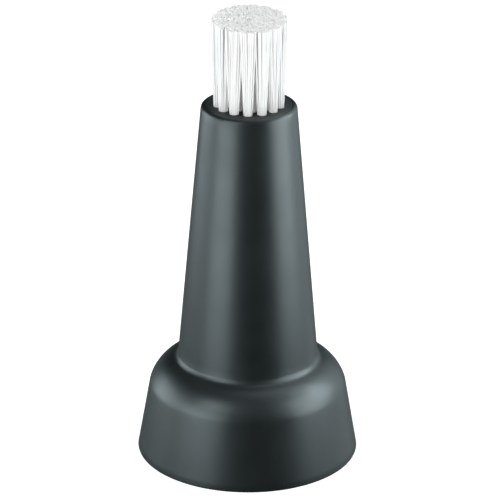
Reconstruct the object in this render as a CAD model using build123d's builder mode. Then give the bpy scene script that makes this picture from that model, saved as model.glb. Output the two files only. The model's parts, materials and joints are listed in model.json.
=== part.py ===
from build123d import *
import os
from math import cos, radians, sin

# Conical detail-brush head for a hand-held powered cleaning brush.
# Millimetres, +Z up. The origin is the centre of the open base, so the rim of the
# skirt stands on z = 0, and the drive shaft comes up along the Z axis.

# ---- Driving dimensions -------------------------------------------------------------
base_radius = 23.1           # outside of the skirt at its rim
brush_height = 95.0          # rim of the skirt to the cut ends of the bristles
crown_height = 76.5          # flat top of the cone, where the tufts come out
crown_radius = 9.78          # cone at the flat top, before its edge is rounded
neck_radius = 14.64          # foot of the cone, before the corner is rounded
neck_height = 20.6
shoulder_radius = 19.92      # top of the skirt, before the corner is rounded
shoulder_height = 18.44
wall = 2.2                   # moulded wall of the cone and the skirt

rings = (                    # ring radius, tufts in it, angle of the first tuft
    (6.4, 14, 268.0),
    (4.2, 9, 278.4),
    (2.0, 4, 270.0),
)
ring_names = ("outer", "middle", "inner")
tuft_hole_radius = 0.95
tuft_hole_depth = 6.0
tuft_root_radius = 0.875     # bundle where it leaves its hole
tuft_tip_radius = 0.95       # bundle at its cut end

shaft_radius = 5.0           # guide bore of the drive socket
hex_across_flats = 8.0       # drive hexagon above the guide bore

# ---- Worked-out sizes ---------------------------------------------------------------
rim_edge = 0.2               # rounding of the skirt's standing edge
shoulder_fillet = 7.4
neck_fillet = 1.5
crown_fillet = 0.95

ceiling_height = 16.4        # flat underside inside the skirt, where the hub lies
ceiling_fillet = 2.2
skirt_slope = (base_radius - shoulder_radius) / shoulder_height
cone_slope = (neck_radius - crown_radius) / (crown_height - neck_height)

recess_depth = 8.0           # pocket in the top of the cone for the tuft block
recess_radius = 8.8
recess_floor = crown_height - recess_depth
shelf_thickness = 2.5
shelf_underside = recess_floor - shelf_thickness
shelf_radius = 6.0
key_width = 2.8              # lugs on the shelf that stop the block from turning
key_inner = 4.9
key_root = 6.3               # a lug starts inside the shelf
slip = 0.05                  # clearance of two pieces that are fitted by hand
edge_break = 0.12            # small chamfer on moulded edges that meet

screw_circle = 9.5
screw_angles = (30.0, 150.0, 270.0)
screw_radius = 1.1
screw_length = 9.5
screw_head_radius = 2.0
screw_head_height = 1.6
screw_boss_radius = 2.5
screw_boss_top = 29.0

flange_radius = 16.0
flange_thickness = 2.5
hub_chamfer = 0.4            # moulded chamfer on the hub's outside edges
flange_underside = ceiling_height - flange_thickness
spigot_radius = 12.5         # ring on the flange that centres the hub in the cone
spigot_wall = 1.2
spigot_height = 1.8
socket_radius = 6.6          # outside of the drive socket
socket_mouth = 2.0
socket_top = 30.0
guide_top = 16.0             # the guide bore ends here and the hexagon starts
hex_top = 28.0

wire_radius = 0.5            # spring wire of the retaining clip
clip_height = 20.0
clip_leg_offset = 4.1        # leg to the middle of the socket
clip_hinge_y = 7.2           # where the bow ends and the legs start
clip_leg_end_y = -7.0
clip_slot_gap = 0.1
clip_slot_outer = 5.4        # how far out a leg can spread
wire_end_chamfer = 0.2

anchor_width = 2.3           # flat wire that holds a folded tuft down in its hole
anchor_height = 1.5
anchor_thickness = 0.3
root_gap = 0.125             # the held part of a bundle ends this far below the ball
hole_bottom = crown_height - tuft_hole_depth

os.makedirs("parts", exist_ok=True)


def keep(piece, name):
    """Label a finished piece and write it under the same name."""
    piece.part.label = name
    export_step(piece.part, f"parts/{name}.step")


def cone_outside(height):
    """Outside radius of the straight cone at a height."""
    return crown_radius + (crown_height - height) * cone_slope


def skirt_inside(height):
    """Inside radius of the skirt at a height."""
    return base_radius - wall - height * skirt_slope


def upright(angle):
    """Plane through the Z axis: its x runs outwards at the angle, its y is up."""
    turn = radians(angle)
    return Plane(
        origin=(0, 0, 0),
        x_dir=(cos(turn), sin(turn), 0),
        z_dir=(sin(turn), -cos(turn), 0),
    )


# ---- Outer shell: cone and skirt moulded in one -------------------------------------
with BuildPart() as outer_shell:
    with BuildSketch(Plane.XZ):
        with BuildLine():
            # Outside, from the standing edge up to the recess in the crown.
            FilletPolyline(
                (base_radius - wall, 0),
                (base_radius, 0),
                (shoulder_radius, shoulder_height),
                (neck_radius, neck_height),
                (crown_radius, crown_height),
                (recess_radius, crown_height),
                radius=(rim_edge, shoulder_fillet, neck_fillet, crown_fillet),
            )
            # Recess, shelf and the inside of the cone, down to the flat ceiling.
            Polyline(
                (recess_radius, crown_height),
                (recess_radius, recess_floor),
                (shelf_radius, recess_floor),
                (shelf_radius, shelf_underside),
                (cone_outside(shelf_underside) - wall, shelf_underside),
                (cone_outside(ceiling_height) - wall, ceiling_height),
            )
            # Ceiling and the inside of the skirt.
            FilletPolyline(
                (cone_outside(ceiling_height) - wall, ceiling_height),
                (skirt_inside(ceiling_height), ceiling_height),
                (base_radius - wall, 0),
                radius=(ceiling_fillet,),
            )
        make_face()
    revolve(axis=Axis.Z)
    # Screw bosses, which run into the wall of the cone.
    with BuildSketch(Plane.XY.offset(ceiling_height)):
        for angle in screw_angles:
            with PolarLocations(screw_circle, 1, angle):
                Circle(screw_boss_radius)
    extrude(amount=screw_boss_top - ceiling_height)
    with BuildSketch(Plane.XY.offset(ceiling_height)):
        for angle in screw_angles:
            with PolarLocations(screw_circle, 1, angle):
                Circle(screw_radius)
    extrude(amount=screw_length, mode=Mode.SUBTRACT)
    # Lugs on the edge of the shelf.
    with BuildSketch(Plane.XY.offset(shelf_underside)):
        with PolarLocations((key_inner + key_root) / 2, 4):
            Rectangle(key_root - key_inner, key_width)
    extrude(amount=shelf_thickness)
keep(outer_shell, "outer_shell")


# ---- Anchors: flat wire pressed across the bottom of every hole ---------------------
with BuildPart() as tuft_anchors:
    with BuildSketch(Plane.XY.offset(hole_bottom)):
        for ring_radius, count, start_angle in rings:
            with PolarLocations(ring_radius, count, start_angle):
                Rectangle(anchor_thickness, anchor_width)
    extrude(amount=anchor_height)
keep(tuft_anchors, "tuft_anchors")


# ---- Tuft block: drilled disc that snaps into the top of the cone -------------------
arm_clearance = 0.1
arm_radius = shelf_radius - arm_clearance      # outside of the snap arms
arm_wall = 1.2
lug_clearance = 0.3
arm_gap = key_width + lug_clearance            # slots between the arms, over the lugs
hook_reach = 0.6
hook_height = 1.1
hook_top = shelf_underside - slip

with BuildPart() as tuft_block:
    with BuildSketch(Plane.XY.offset(recess_floor)):
        Circle(recess_radius - slip)
    extrude(amount=recess_depth)
    # Snap arms with a hook under the shelf.
    with BuildSketch(Plane.XZ):
        with BuildLine():
            Polyline(
                (arm_radius - arm_wall, recess_floor),
                (arm_radius, recess_floor),
                (arm_radius, hook_top),
                (arm_radius + hook_reach, hook_top),
                (arm_radius, hook_top - hook_height),
                (arm_radius - arm_wall, hook_top - hook_height),
                close=True,
            )
        make_face()
    revolve(axis=Axis.Z)
    with BuildSketch(Plane.XY.offset(hook_top - hook_height)):
        Rectangle(2 * recess_radius, arm_gap)
        Rectangle(arm_gap, 2 * recess_radius)
    extrude(amount=recess_floor - hook_top + hook_height, mode=Mode.SUBTRACT)
    # Blind holes for the tufts, with a broken edge at every mouth and at the rim.
    with BuildSketch(Plane.XY.offset(crown_height)):
        for ring_radius, count, start_angle in rings:
            with PolarLocations(ring_radius, count, start_angle):
                Circle(tuft_hole_radius)
    extrude(amount=-tuft_hole_depth, mode=Mode.SUBTRACT)
    chamfer(tuft_block.faces().sort_by(Axis.Z)[-1].edges(), length=edge_break)
    add(tuft_anchors.part, mode=Mode.SUBTRACT)
keep(tuft_block, "tuft_block")


# ---- Roots: the folded filaments that each anchor holds inside its hole -------------
root_top = crown_height - tuft_root_radius - root_gap

with BuildPart() as tuft_roots:
    with BuildSketch(Plane.XY.offset(hole_bottom)):
        for ring_radius, count, start_angle in rings:
            with PolarLocations(ring_radius, count, start_angle):
                Circle(tuft_hole_radius)
    extrude(amount=root_top - hole_bottom)
    add(tuft_anchors.part, mode=Mode.SUBTRACT)
keep(tuft_roots, "tuft_roots")


# ---- Tufts: one bundle of nylon filaments standing in each hole ---------------------
def make_tuft(name, ring_radius, angle):
    """One tuft, with a ball at its root so that it can lean in its hole."""
    turn = radians(angle)
    place = (ring_radius * cos(turn), ring_radius * sin(turn), crown_height)
    with BuildPart(Plane(origin=place)) as tuft:
        Sphere(tuft_root_radius)
        Cone(
            bottom_radius=tuft_root_radius,
            top_radius=tuft_tip_radius,
            height=brush_height - crown_height,
            align=(Align.CENTER, Align.CENTER, Align.MIN),
        )
    keep(tuft, name)


for ring_name, (ring_radius, count, start_angle) in zip(ring_names, rings):
    for number in range(count):
        angle = start_angle + number * 360.0 / count
        make_tuft(f"tuft_{ring_name}_{number + 1:02d}", ring_radius, angle)


# ---- Retaining clip: spring wire that snaps into the groove of the drive shaft ------
hinge_gap = slip
bow_end_y = clip_hinge_y + hinge_gap

with BuildPart() as retaining_clip:
    with BuildLine(Plane.XY.offset(clip_height)) as bow_path:
        CenterArc((0, bow_end_y), clip_leg_offset, 0, 180)
    with BuildSketch(Plane((clip_leg_offset, bow_end_y, clip_height), x_dir=(1, 0, 0), z_dir=(0, 1, 0))):
        Circle(wire_radius)
    sweep(path=bow_path.line)
keep(retaining_clip, "retaining_clip")


def make_leg(name, side):
    """Straight leg of the clip, from the end of the bow along the side of the hexagon."""
    start = (side * clip_leg_offset, clip_hinge_y, clip_height)
    with BuildPart(Plane(origin=start, x_dir=(1, 0, 0), z_dir=(0, -1, 0))) as leg:
        Cylinder(
            wire_radius,
            clip_hinge_y - clip_leg_end_y,
            align=(Align.CENTER, Align.CENTER, Align.MIN),
        )
        chamfer(leg.faces().sort_by(Axis.Y)[0].edges(), length=wire_end_chamfer)
    keep(leg, name)


make_leg("clip_leg_left", -1)
make_leg("clip_leg_right", 1)


# ---- Drive hub: flange, drive socket and the cradle of the clip ---------------------
rib_count = 6
rib_thickness = 1.4
rib_root = socket_radius - 1.0       # a rib starts inside the socket's wall
rib_foot = 13.5              # how far out a rib runs under the flange
rib_drop = 5.5               # how far down a rib runs on the socket
mouth_chamfer = 0.6
cradle_width = 3.2
cradle_inner = 9.8
cradle_outer = 12.1
cradle_cover = 1.0           # plastic above the middle of the wire
cradle_top = clip_height + cradle_cover
spigot_break = 6.4           # breaks in the centring ring for the screw bosses
screw_clearance = 0.15
hub_hole_radius = screw_radius + screw_clearance

with BuildPart() as drive_hub:
    with BuildSketch(Plane.XY.offset(flange_underside)):
        Circle(flange_radius)
    extrude(amount=flange_thickness)
    chamfer(drive_hub.faces().sort_by(Axis.Z)[0].edges(), length=hub_chamfer)
    # Centring ring, open where the screw bosses stand.
    with BuildSketch(Plane.XY.offset(ceiling_height)):
        Circle(spigot_radius)
        Circle(spigot_radius - spigot_wall, mode=Mode.SUBTRACT)
        for angle in screw_angles:
            with PolarLocations(screw_circle, 1, angle):
                Rectangle(spigot_break, spigot_break, mode=Mode.SUBTRACT)
    extrude(amount=spigot_height)
    # Drive socket.
    with BuildSketch(Plane.XY.offset(socket_mouth)):
        Circle(socket_radius)
    extrude(amount=socket_top - socket_mouth)
    chamfer(drive_hub.faces().sort_by(Axis.Z)[0].edges(), length=hub_chamfer)
    chamfer(drive_hub.faces().sort_by(Axis.Z)[-1].edges(), length=hub_chamfer)
    # Ribs that brace the socket against the flange.
    for step in range(rib_count):
        with BuildSketch(upright(step * 360.0 / rib_count)):
            with BuildLine():
                Polyline(
                    (rib_root, flange_underside),
                    (rib_foot, flange_underside),
                    (socket_radius, flange_underside - rib_drop),
                    (rib_root, flange_underside - rib_drop),
                    close=True,
                )
            make_face()
        extrude(amount=rib_thickness / 2, both=True)
    # Cradle for the bow of the clip.
    with BuildSketch(Plane.XY.offset(ceiling_height)):
        with Locations((0, (cradle_inner + cradle_outer) / 2)):
            Rectangle(cradle_width, cradle_outer - cradle_inner)
    extrude(amount=cradle_top - ceiling_height)
    # Guide bore, hexagon and the screw holes.
    with BuildSketch(Plane.XY.offset(socket_mouth)):
        Circle(shaft_radius)
    extrude(amount=guide_top - socket_mouth, mode=Mode.SUBTRACT)
    mouth_face = drive_hub.faces().sort_by(Axis.Z)[0]
    chamfer(mouth_face.inner_wires()[0].edges(), length=mouth_chamfer)
    with BuildSketch(Plane.XY.offset(guide_top)):
        RegularPolygon(hex_across_flats / 2, 6, major_radius=False, rotation=30)
    extrude(amount=hex_top - guide_top, mode=Mode.SUBTRACT)
    with BuildSketch(Plane.XY.offset(flange_underside)):
        for angle in screw_angles:
            with PolarLocations(screw_circle, 1, angle):
                Circle(hub_hole_radius)
    extrude(amount=flange_thickness, mode=Mode.SUBTRACT)
    # Slots that let the legs of the clip reach the hexagon and spread.
    slot_height = 2 * (wire_radius + clip_slot_gap)
    slot_inner = clip_leg_offset - wire_radius - clip_slot_gap
    with BuildSketch(Plane.XY.offset(clip_height - slot_height / 2)):
        for side in (-1, 1):
            with Locations((side * (slot_inner + clip_slot_outer) / 2, 0)):
                Rectangle(clip_slot_outer - slot_inner, 2 * socket_radius)
    extrude(amount=slot_height, mode=Mode.SUBTRACT)
    add(retaining_clip.part, mode=Mode.SUBTRACT)
keep(drive_hub, "drive_hub")


# ---- Hub screws: three pan-head screws, from below into the bosses ------------------
cross_width = 2.2            # cross recess in a head
cross_slot = 0.55
cross_depth = 0.9
head_fillet = 0.6

with BuildPart() as hub_screws:
    with BuildSketch(Plane.XY.offset(flange_underside - screw_head_height)):
        for angle in screw_angles:
            with PolarLocations(screw_circle, 1, angle):
                Circle(screw_head_radius)
    extrude(amount=screw_head_height)
    fillet(hub_screws.faces().group_by(Axis.Z)[0].edges(), radius=head_fillet)
    with BuildSketch(Plane.XY.offset(flange_underside)):
        for angle in screw_angles:
            with PolarLocations(screw_circle, 1, angle):
                Circle(screw_radius)
    extrude(amount=screw_length)
    with BuildSketch(Plane.XY.offset(flange_underside - screw_head_height)):
        for angle in screw_angles:
            with PolarLocations(screw_circle, 1, angle):
                Rectangle(cross_width, cross_slot)
                Rectangle(cross_slot, cross_width)
    extrude(amount=cross_depth, mode=Mode.SUBTRACT)
keep(hub_screws, "hub_screws")
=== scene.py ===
import json
import math
import random

import bmesh
import bpy
from mathutils import Matrix, Vector

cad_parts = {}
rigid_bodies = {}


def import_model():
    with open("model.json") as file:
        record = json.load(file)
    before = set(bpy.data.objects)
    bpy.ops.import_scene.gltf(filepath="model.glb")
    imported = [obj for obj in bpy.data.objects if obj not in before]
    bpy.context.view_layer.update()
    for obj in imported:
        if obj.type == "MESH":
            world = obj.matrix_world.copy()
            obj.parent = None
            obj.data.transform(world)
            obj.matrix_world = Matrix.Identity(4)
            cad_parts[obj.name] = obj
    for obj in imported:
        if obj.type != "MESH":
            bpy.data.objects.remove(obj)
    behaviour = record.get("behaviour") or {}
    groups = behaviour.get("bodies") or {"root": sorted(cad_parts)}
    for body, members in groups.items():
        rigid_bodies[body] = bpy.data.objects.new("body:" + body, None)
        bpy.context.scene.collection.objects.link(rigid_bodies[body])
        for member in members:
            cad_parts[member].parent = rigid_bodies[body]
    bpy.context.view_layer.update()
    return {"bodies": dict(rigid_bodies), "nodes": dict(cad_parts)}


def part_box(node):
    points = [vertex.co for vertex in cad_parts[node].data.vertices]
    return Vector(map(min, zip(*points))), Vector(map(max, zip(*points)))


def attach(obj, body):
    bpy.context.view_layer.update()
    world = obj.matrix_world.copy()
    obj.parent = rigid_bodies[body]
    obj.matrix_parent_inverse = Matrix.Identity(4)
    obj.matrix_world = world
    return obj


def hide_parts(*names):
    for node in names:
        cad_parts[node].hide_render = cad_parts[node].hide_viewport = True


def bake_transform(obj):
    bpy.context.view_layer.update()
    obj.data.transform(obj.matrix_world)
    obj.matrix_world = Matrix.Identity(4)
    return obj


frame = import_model()
mm = 0.001
scene = bpy.context.scene


# ---- Camera --------------------------------------------------------------------------
# A long lens in front of the head and a little above it, aimed at the middle of its
# height, rolled by a third of a degree.
camera_distance = 655.8 * mm
camera_elevation = 0.400
camera_roll = 0.0053
middle_height = 45 * mm

lens = bpy.data.cameras.new("camera")
lens.lens = 228.8
lens.sensor_width = 36.0
lens.shift_x = 0.0033
lens.shift_y = -0.0059
lens.clip_start = 10 * mm
camera = bpy.data.objects.new("camera", lens)
scene.collection.objects.link(camera)
away = Vector((0.0, -math.cos(camera_elevation), math.sin(camera_elevation)))
camera.location = Vector((0, 0, middle_height)) + away * camera_distance
aim = away.to_track_quat("Z", "Y").to_matrix() @ Matrix.Rotation(camera_roll, 3, "Z")
camera.rotation_euler = aim.to_euler()
scene.camera = camera
scene.view_settings.view_transform = "Standard"


# ---- Outer shell ---------------------------------------------------------------------
# Cone and skirt in one injection moulding of anthracite ABS, 2.2 mm thick. Its satin
# skin comes from a finely spark-eroded mould.
wall = 2.2 * mm
crown_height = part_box("outer_shell")[1].z
base_radius = 23.1 * mm
shoulder_radius, shoulder_height = 19.92 * mm, 18.44 * mm
neck_radius, neck_height = 14.64 * mm, 20.6 * mm
crown_radius = 9.78 * mm
ceiling_height = 16.4 * mm
recess_radius = 8.8 * mm
recess_floor = crown_height - 8.0 * mm
shelf_radius = 6.0 * mm
shelf_underside = recess_floor - 2.5 * mm
lug_inner, lug_root, lug_width = 4.9 * mm, 6.3 * mm, 2.8 * mm
screw_circle = 9.5 * mm
screw_angles = [math.radians(a) for a in (30, 150, 270)]
screw_radius = 1.1 * mm
boss_radius = 2.5 * mm
boss_top = 29.0 * mm
screw_top = ceiling_height + 9.5 * mm


def linear(colour):
    """Linear RGBA from an sRGB hex colour."""
    parts = [int(colour[i:i + 2], 16) / 255 for i in (1, 3, 5)]
    return [p / 12.92 if p <= 0.04045 else ((p + 0.055) / 1.055) ** 2.4 for p in parts] + [1.0]


def node(tree, kind, inputs=None, links=None, **settings):
    """Add a shader node with its input values, its links as (node, output) and its settings."""
    made = tree.nodes.new(kind)
    for name, value in settings.items():
        setattr(made, name, value)
    for name, value in (inputs or {}).items():
        made.inputs[name].default_value = value
    for name, (source, output) in (links or {}).items():
        tree.links.new(source.outputs[output], made.inputs[name])
    return made


def finish(name, **surface):
    """A material whose Principled surface has these socket values, and its tree and shader."""
    made = bpy.data.materials.new(name)
    made.use_nodes = True
    shader = made.node_tree.nodes["Principled BSDF"]
    for socket, value in surface.items():
        shader.inputs[socket.replace("_", " ")].default_value = value
    return made, made.node_tree, shader


def drive(tree, shader, socket, source, output):
    """Link a node's output to a socket of the surface."""
    tree.links.new(source.outputs[output], shader.inputs[socket])


tint_patch = 14 * mm         # pigment clouds that follow the flow of the melt
haze_patch = 5 * mm          # patches where the mould has polished or dulled the skin
haze_swing = 0.025
grain_size = 0.25 * mm       # spark erosion leaves about 0.1 mm; drawn coarser so that it shows
grain_height = 0.01 * mm


def moulded(name, dark, light, roughness, grain_depth, ior):
    """Moulded thermoplastic: cloudy tint, uneven gloss and an eroded grain."""
    made, tree, shader = finish(name, IOR=ior)
    where = node(tree, "ShaderNodeTexCoord")
    cloud = node(
        tree, "ShaderNodeTexNoise", inputs={"Scale": 1 / tint_patch, "Detail": 3.0},
        links={"Vector": (where, "Object")},
    )
    tint = node(tree, "ShaderNodeValToRGB", links={"Fac": (cloud, "Fac")})
    tint.color_ramp.elements[0].position = 0.35
    tint.color_ramp.elements[0].color = linear(dark)
    tint.color_ramp.elements[1].position = 0.65
    tint.color_ramp.elements[1].color = linear(light)
    drive(tree, shader, "Base Color", tint, "Color")
    haze = node(
        tree, "ShaderNodeTexNoise", inputs={"Scale": 1 / haze_patch, "Detail": 4.0},
        links={"Vector": (where, "Object")},
    )
    gloss = node(
        tree, "ShaderNodeMapRange", links={"Value": (haze, "Fac")},
        inputs={
            "From Min": 0.3, "From Max": 0.7,
            "To Min": roughness - haze_swing, "To Max": roughness + haze_swing,
        },
    )
    drive(tree, shader, "Roughness", gloss, "Result")
    grain = node(
        tree, "ShaderNodeTexNoise", inputs={"Scale": 1 / grain_size, "Detail": 2.0},
        links={"Vector": (where, "Object")},
    )
    relief = node(
        tree, "ShaderNodeBump", inputs={"Strength": grain_depth, "Distance": grain_height},
        links={"Height": (grain, "Fac")},
    )
    drive(tree, shader, "Normal", relief, "Normal")
    return made


fillet_facet = 0.6 * mm
merge_distance = 0.001 * mm


def turned(corners, steps=192, longest=1.5 * mm):
    """A closed outline of (radius, height, fillet radius) corners, turned round the Z axis."""
    shape = bmesh.new()
    points = [Vector((r, 0, z)) for r, z, fillet in corners]
    outline = [shape.verts.new(point) for point in points]
    for pair in zip(outline, outline[1:] + outline[:1]):
        shape.edges.new(pair)
    for i, (r, z, fillet) in enumerate(corners):
        if fillet:
            into = points[i] - points[i - 1]
            onward = points[(i + 1) % len(points)] - points[i]
            bmesh.ops.bevel(
                shape, geom=[outline[i]], offset=fillet * math.tan(into.angle(onward) / 2),
                offset_type="OFFSET", segments=4 + round(fillet / fillet_facet), profile=0.5,
                affect="VERTICES", material=-1,
            )
    for edge in shape.edges[:]:
        cuts = int(edge.calc_length() / longest)
        if cuts:
            bmesh.ops.subdivide_edges(shape, edges=[edge], cuts=cuts)
    bmesh.ops.spin(
        shape, geom=shape.verts[:] + shape.edges[:], cent=(0, 0, 0), axis=(0, 0, 1),
        angle=math.tau, steps=steps, use_merge=True,
    )
    bmesh.ops.remove_doubles(shape, verts=shape.verts, dist=merge_distance)
    bmesh.ops.recalc_face_normals(shape, faces=shape.faces)
    return shape


def put(shape, other, move=(0, 0, 0)):
    """Move one bmesh into another and free it."""
    bmesh.ops.translate(other, verts=other.verts, vec=move)
    carrier = bpy.data.meshes.new("carrier")
    other.to_mesh(carrier)
    other.free()
    shape.from_mesh(carrier)
    bpy.data.meshes.remove(carrier)


def piece(shape, name, material, sharp_angle=35):
    """A smooth-shaded object at the origin, made from a bmesh."""
    mesh = bpy.data.meshes.new(name)
    shape.to_mesh(mesh)
    shape.free()
    made = bpy.data.objects.new(name, mesh)
    scene.collection.objects.link(made)
    mesh.materials.append(material)
    mesh.shade_smooth()
    mesh.set_sharp_from_angle(angle=math.radians(sharp_angle))
    return made


def cone_inside(height):
    """Inside radius of the cone at a height."""
    slope = (neck_radius - crown_radius) / (crown_height - neck_height)
    return crown_radius + (crown_height - height) * slope - wall


skirt_slope = (base_radius - shoulder_radius) / shoulder_height
shell = turned([
    (base_radius - wall, 0, 0.2 * mm),
    (base_radius, 0, 0.2 * mm),
    (shoulder_radius, shoulder_height, 7.4 * mm),
    (neck_radius, neck_height, 1.5 * mm),
    (crown_radius, crown_height, 0.95 * mm),
    (recess_radius, crown_height, 0.08 * mm),
    (recess_radius, recess_floor, 0),
    (shelf_radius, recess_floor, 0),
    (shelf_radius, shelf_underside, 0),
    (cone_inside(shelf_underside), shelf_underside, 0),
    (cone_inside(ceiling_height), ceiling_height, 0),
    (base_radius - wall - ceiling_height * skirt_slope, ceiling_height, 2.2 * mm),
])
for angle in screw_angles:
    boss = turned([
        (screw_radius, ceiling_height, 0),
        (boss_radius, ceiling_height, 0),
        (boss_radius, boss_top, 0),
        (0, boss_top, 0),
        (0, screw_top, 0),
        (screw_radius, screw_top, 0),
    ], steps=32, longest=6 * mm)
    put(shell, boss, move=(screw_circle * math.cos(angle), screw_circle * math.sin(angle), 0))
for quarter in range(4):
    lug = bmesh.new()
    bmesh.ops.create_cube(lug, size=1.0)
    size = (lug_root - lug_inner, lug_width, recess_floor - shelf_underside)
    bmesh.ops.scale(lug, verts=lug.verts, vec=size)
    middle = ((lug_root + lug_inner) / 2, 0, (recess_floor + shelf_underside) / 2)
    bmesh.ops.translate(lug, verts=lug.verts, vec=middle)
    bmesh.ops.rotate(lug, verts=lug.verts, matrix=Matrix.Rotation(quarter * math.pi / 2, 3, "Z"))
    put(shell, lug)

abs_anthracite = moulded("moulded_ABS_anthracite", "#0a1314", "#101819", 0.42, 0.35, 1.54)
outer_shell = piece(shell, "shell_cone_and_skirt", abs_anthracite)
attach(outer_shell, "head")
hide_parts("outer_shell")


# ---- Drive hub -----------------------------------------------------------------------
# Flange, ribs and drive socket in one moulding of black glass-filled nylon. Glass near
# the skin makes it duller and a little greyer than the shell.
def dress(name, material):
    """Give a CAD node its finish."""
    for slot in frame["nodes"][name].material_slots:
        slot.material = material


dress("drive_hub", moulded("moulded_glass_filled_nylon", "#17181a", "#232527", 0.48, 0.5, 1.53))


# ---- Hub screws ----------------------------------------------------------------------
# Three thread-forming pan-head screws, cold headed in steel and zinc plated. The plate
# is bright with a faint blue cast, and slightly brushed from tumbling.
tumble_mark = 0.4 * mm
zinc, tree, shader = finish("zinc_plated_steel", Metallic=1.0)
where = node(tree, "ShaderNodeTexCoord")
rub = node(
    tree, "ShaderNodeTexNoise", inputs={"Scale": 1 / tumble_mark, "Detail": 3.0},
    links={"Vector": (where, "Object")},
)
tone = node(tree, "ShaderNodeValToRGB", links={"Fac": (rub, "Fac")})
tone.color_ramp.elements[0].color = linear("#b4b9bd")
tone.color_ramp.elements[1].color = linear("#d5d8da")
drive(tree, shader, "Base Color", tone, "Color")
polish = node(
    tree, "ShaderNodeMapRange", links={"Value": (rub, "Fac")},
    inputs={"From Min": 0.3, "From Max": 0.7, "To Min": 0.24, "To Max": 0.4},
)
drive(tree, shader, "Roughness", polish, "Result")
dress("hub_screws", zinc)


# ---- Retaining clip ------------------------------------------------------------------
# One spring, bent from 1 mm drawn wire: a bow and two legs. Drawing leaves fine lines
# along the wire and a dark oiled skin.
line_width, line_length = 0.1 * mm, 3 * mm
wire, tree, shader = finish("drawn_spring_steel", Metallic=1.0)
where = node(tree, "ShaderNodeTexCoord")
lines = node(tree, "ShaderNodeMapping", links={"Vector": (where, "Object")})
lines.inputs["Scale"].default_value = (1 / line_width, 1 / line_length, 1 / line_width)
drawn = node(
    tree, "ShaderNodeTexNoise", inputs={"Scale": 1.0, "Detail": 2.0},
    links={"Vector": (lines, "Vector")},
)
tone = node(tree, "ShaderNodeValToRGB", links={"Fac": (drawn, "Fac")})
tone.color_ramp.elements[0].color = linear("#6b6c6e")
tone.color_ramp.elements[1].color = linear("#96989a")
drive(tree, shader, "Base Color", tone, "Color")
polish = node(
    tree, "ShaderNodeMapRange", links={"Value": (drawn, "Fac")},
    inputs={"From Min": 0.3, "From Max": 0.7, "To Min": 0.22, "To Max": 0.36},
)
drive(tree, shader, "Roughness", polish, "Result")
for name in ("retaining_clip", "clip_leg_left", "clip_leg_right"):
    dress(name, wire)


# ---- Tuft block ----------------------------------------------------------------------
# Disc of the same anthracite plastic, moulded, then drilled for the tufts. It is snapped
# into the crown, and its top has a duller skin than the shell.
block_plastic = moulded("moulded_ABS_block", "#0a1314", "#0f1819", 0.62, 0.5, 1.54)
dress("tuft_block", block_plastic)


# ---- Tuft roots ----------------------------------------------------------------------
# The folded lower ends of the tufts, packed into the drilled holes. They are extruded
# nylon filament, milky white: light passes a little way in and softens the shadows.
filament_diameter = 0.2 * mm
streak_length = 12 * mm
nylon, tree, shader = finish(
    "extruded_nylon_filament", IOR=1.53, Subsurface_Weight=0.3, Subsurface_Scale=0.3 * mm,
    Subsurface_Radius=(1.0, 1.0, 1.0),
)
where = node(tree, "ShaderNodeTexCoord")
strand = node(tree, "ShaderNodeMapping", links={"Vector": (where, "Object")})
strand.inputs["Scale"].default_value = (
    1 / filament_diameter, 1 / filament_diameter, 1 / streak_length,
)
streak = node(
    tree, "ShaderNodeTexNoise", inputs={"Scale": 1.0, "Detail": 2.0},
    links={"Vector": (strand, "Vector")},
)
shade = node(tree, "ShaderNodeValToRGB", links={"Fac": (streak, "Fac")})
shade.color_ramp.elements[0].position = 0.3
shade.color_ramp.elements[0].color = linear("#efefee")
shade.color_ramp.elements[1].position = 0.6
shade.color_ramp.elements[1].color = linear("#fdfdfd")
drive(tree, shader, "Base Color", shade, "Color")
polish = node(
    tree, "ShaderNodeMapRange", links={"Value": (streak, "Fac")},
    inputs={"From Min": 0.3, "From Max": 0.7, "To Min": 0.3, "To Max": 0.45},
)
drive(tree, shader, "Roughness", polish, "Result")
dress("tuft_roots", nylon)


# ---- Tuft anchors --------------------------------------------------------------------
# One short piece of flattened brass wire across each fold, driven into the plastic at
# the bottom of the hole. Rolling leaves it smooth, and air stains it unevenly.
stain_size = 1 * mm
brass, tree, shader = finish("flattened_brass_wire", Metallic=1.0, Roughness=0.3)
where = node(tree, "ShaderNodeTexCoord")
stain = node(
    tree, "ShaderNodeTexNoise", inputs={"Scale": 1 / stain_size},
    links={"Vector": (where, "Object")},
)
tone = node(tree, "ShaderNodeValToRGB", links={"Fac": (stain, "Fac")})
tone.color_ramp.elements[0].color = linear("#b08a45")
tone.color_ramp.elements[1].color = linear("#d9b871")
drive(tree, shader, "Base Color", tone, "Color")
dress("tuft_anchors", brass)


# ---- Tufts ---------------------------------------------------------------------------
# Each tuft is a bundle of round nylon filaments, 0.2 mm thick, folded once and pressed
# into its hole behind its anchor. The bundles spread as they rise, and the whole field
# is trimmed in one cut, which leaves the ends uneven by about a tenth of a millimetre.
filament_radius = 0.105 * mm
filament_count = 60
filament_sides = 6
flagged_tip = 2.1            # soft split ends make a tip this much thicker
bundle_radius = 0.80 * mm
root_depth = 1.2 * mm
spread_outwards = 1.50
spread_along_ring = 2.20
lean_inwards = 0.25 * mm     # the four inner tufts close up over the middle
trim_slope = 0.085           # the field is cut a little lower at the front
trim_drop = 0.35 * mm
trim_error = 0.06 * mm
waviness = 0.08 * mm
tip_error = 0.20 * mm
golden_angle = math.pi * (3 - math.sqrt(5))
stations = (0.0, 0.14, 0.36, 0.6, 0.82, 1.0)
fan_onset = 0.8              # below 1, the filaments part soon after they leave the hole

draw = random.Random(27)


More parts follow.
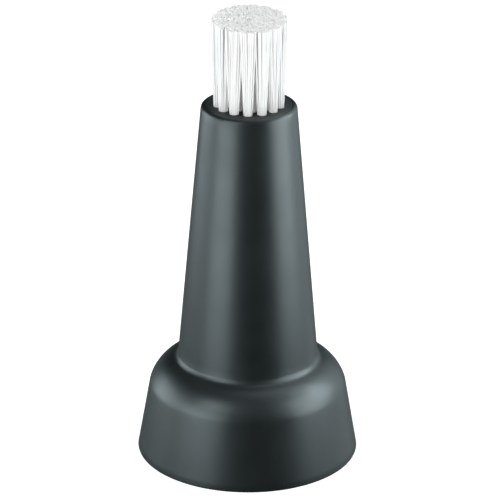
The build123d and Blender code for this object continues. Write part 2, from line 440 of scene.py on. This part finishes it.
def filament(bundle, root, field_height, outwards, along, across, lean):
    """One filament: a six-sided rod carried up from its root through the stations."""
    sway = Vector((draw.uniform(-1, 1), draw.uniform(-1, 1))) * waviness
    stray = Vector((draw.gauss(0, 1), draw.gauss(0, 1))) * tip_error
    start = root - Vector((0, 0, root_depth))
    top = field_height - trim_drop + trim_slope * root.y
    top += draw.uniform(-trim_error, trim_error)
    path = []
    for s in stations:
        fan = s ** fan_onset
        bow = math.sin(math.pi * s)
        out_now = across.x * (1 + (spread_outwards - 1) * fan) + stray.x * s + sway.x * bow - lean * s
        along_now = across.y * (1 + (spread_along_ring - 1) * fan) + stray.y * s + sway.y * bow
        spot = start + outwards * out_now + along * along_now
        spot.z = start.z + (top - start.z) * s
        path.append(spot)
    bmesh.ops.create_circle(
        bundle, cap_ends=True, segments=filament_sides, radius=filament_radius,
        matrix=Matrix.Translation(path[0]) @ Matrix.Rotation(draw.uniform(0, math.tau), 4, "Z"),
    )
    bundle.faces.ensure_lookup_table()
    end = bundle.faces[-1]
    grow = flagged_tip ** (1 / (len(path) - 1))
    for here, there in zip(path, path[1:]):
        grown = bmesh.ops.extrude_face_region(bundle, geom=[end])
        end = [g for g in grown["geom"] if isinstance(g, bmesh.types.BMFace)][0]
        bmesh.ops.translate(bundle, verts=end.verts[:], vec=there - here)
        bmesh.ops.scale(bundle, verts=end.verts[:], vec=(grow, grow, 1), space=Matrix.Translation(-there))


tuft_names = sorted(name for name in frame["bodies"] if name.startswith("tuft_"))
for name in tuft_names:
    low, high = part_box(name)
    root = Vector(((low.x + high.x) / 2, (low.y + high.y) / 2, crown_height))
    outwards = Vector((root.x, root.y, 0)).normalized()
    along = Vector((-outwards.y, outwards.x, 0))
    bundle = bmesh.new()
    lean = lean_inwards if "inner" in name else 0.0
    turn = draw.uniform(0, math.tau)
    for i in range(filament_count):
        distance = bundle_radius * math.sqrt((i + 0.5) / filament_count)
        angle = turn + i * golden_angle
        across = Vector((math.cos(angle), math.sin(angle))) * distance
        filament(bundle, root, high.z, outwards, along, across, lean)
    bmesh.ops.recalc_face_normals(bundle, faces=bundle.faces)
    tuft = piece(bundle, name.replace("tuft", "bristles"), nylon, sharp_angle=65)
    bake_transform(tuft)
    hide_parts(name)


# ---- Floor and lights ----------------------------------------------------------------
# A white table in an even pale room, and small soft panels close to the head on either
# side. The panels show only in its gloss. The gap between them is the dark band down
# the front of the cone, and the one above lifts the crown and the shoulder.
floor_half_width = 3.0
floor_gap = 0.02 * mm
floor_shape = bmesh.new()
bmesh.ops.create_grid(floor_shape, x_segments=1, y_segments=1, size=floor_half_width)
bmesh.ops.translate(floor_shape, verts=floor_shape.verts, vec=(0, 0, -floor_gap))
paper, tree, shader = finish(
    "white_floor", Roughness=0.9, Specular_IOR_Level=0.0, Emission_Strength=0.5,
)
where = node(tree, "ShaderNodeTexCoord")
mottle = node(tree, "ShaderNodeTexNoise", inputs={"Scale": 8.0}, links={"Vector": (where, "Object")})
tone = node(tree, "ShaderNodeValToRGB", links={"Fac": (mottle, "Fac")})
tone.color_ramp.elements[0].color = linear("#f4f4f4")
tone.color_ramp.elements[1].color = linear("#f8f8f8")
drive(tree, shader, "Base Color", tone, "Color")
floor = piece(floor_shape, "floor", paper)
floor.visible_glossy = False
floor.visible_diffuse = False
floor.visible_shadow = False

world = bpy.data.worlds.new("room")
scene.world = world
world.use_nodes = True
world.node_tree.nodes["Background"].inputs["Color"].default_value = linear("#fdfefe")
world.node_tree.nodes["Background"].inputs["Strength"].default_value = 0.86
world.cycles_visibility.glossy = False


def panel(name, azimuth, elevation, distance, width, height, radiance, fill=False):
    """A soft panel that faces the middle of the head, azimuth counted from the front."""
    light = bpy.data.lights.new(name, "AREA")
    light.shape = "RECTANGLE"
    light.size = width
    light.size_y = height
    light.energy = math.pi * radiance * width * height
    light.color = (1.0, 1.0, 1.0) if fill else (0.81, 0.96, 1.0)
    made = bpy.data.objects.new(name, light)
    scene.collection.objects.link(made)
    turn, rise = math.radians(azimuth), math.radians(elevation)
    towards = Vector((
        math.sin(turn) * math.cos(rise), -math.cos(turn) * math.cos(rise), math.sin(rise),
    ))
    made.location = Vector((0, 0, middle_height)) + towards * distance
    made.rotation_euler = towards.to_track_quat("Z", "Y").to_euler()
    made.visible_diffuse = fill
    made.visible_glossy = not fill


panel("front_fill", -8, 30, 0.50, 0.5, 0.4, 1.75, fill=True)
panel("right_main", 75, 9, 0.15, 0.12, 0.15, 6.4)
panel("right_back", 118, 35, 0.20, 0.26, 0.75, 1.2)
panel("left_main", -51, -5, 0.15, 0.12, 0.08, 6.5)
panel("left_back", -107, 3, 0.44, 0.38, 0.28, 4.5)
panel("right_core", 105, 26, 0.19, 0.03, 0.17, 12.8)
panel("left_core", -43, 30, 0.19, 0.08, 0.045, 12.5)
panel("right_rim", 155, -15, 0.30, 0.25, 0.18, 0.25)
panel("left_rim", -150, -15, 0.30, 0.25, 0.18, 0.2)
panel("above", 180, 70, 0.30, 0.3, 0.3, 0.35)
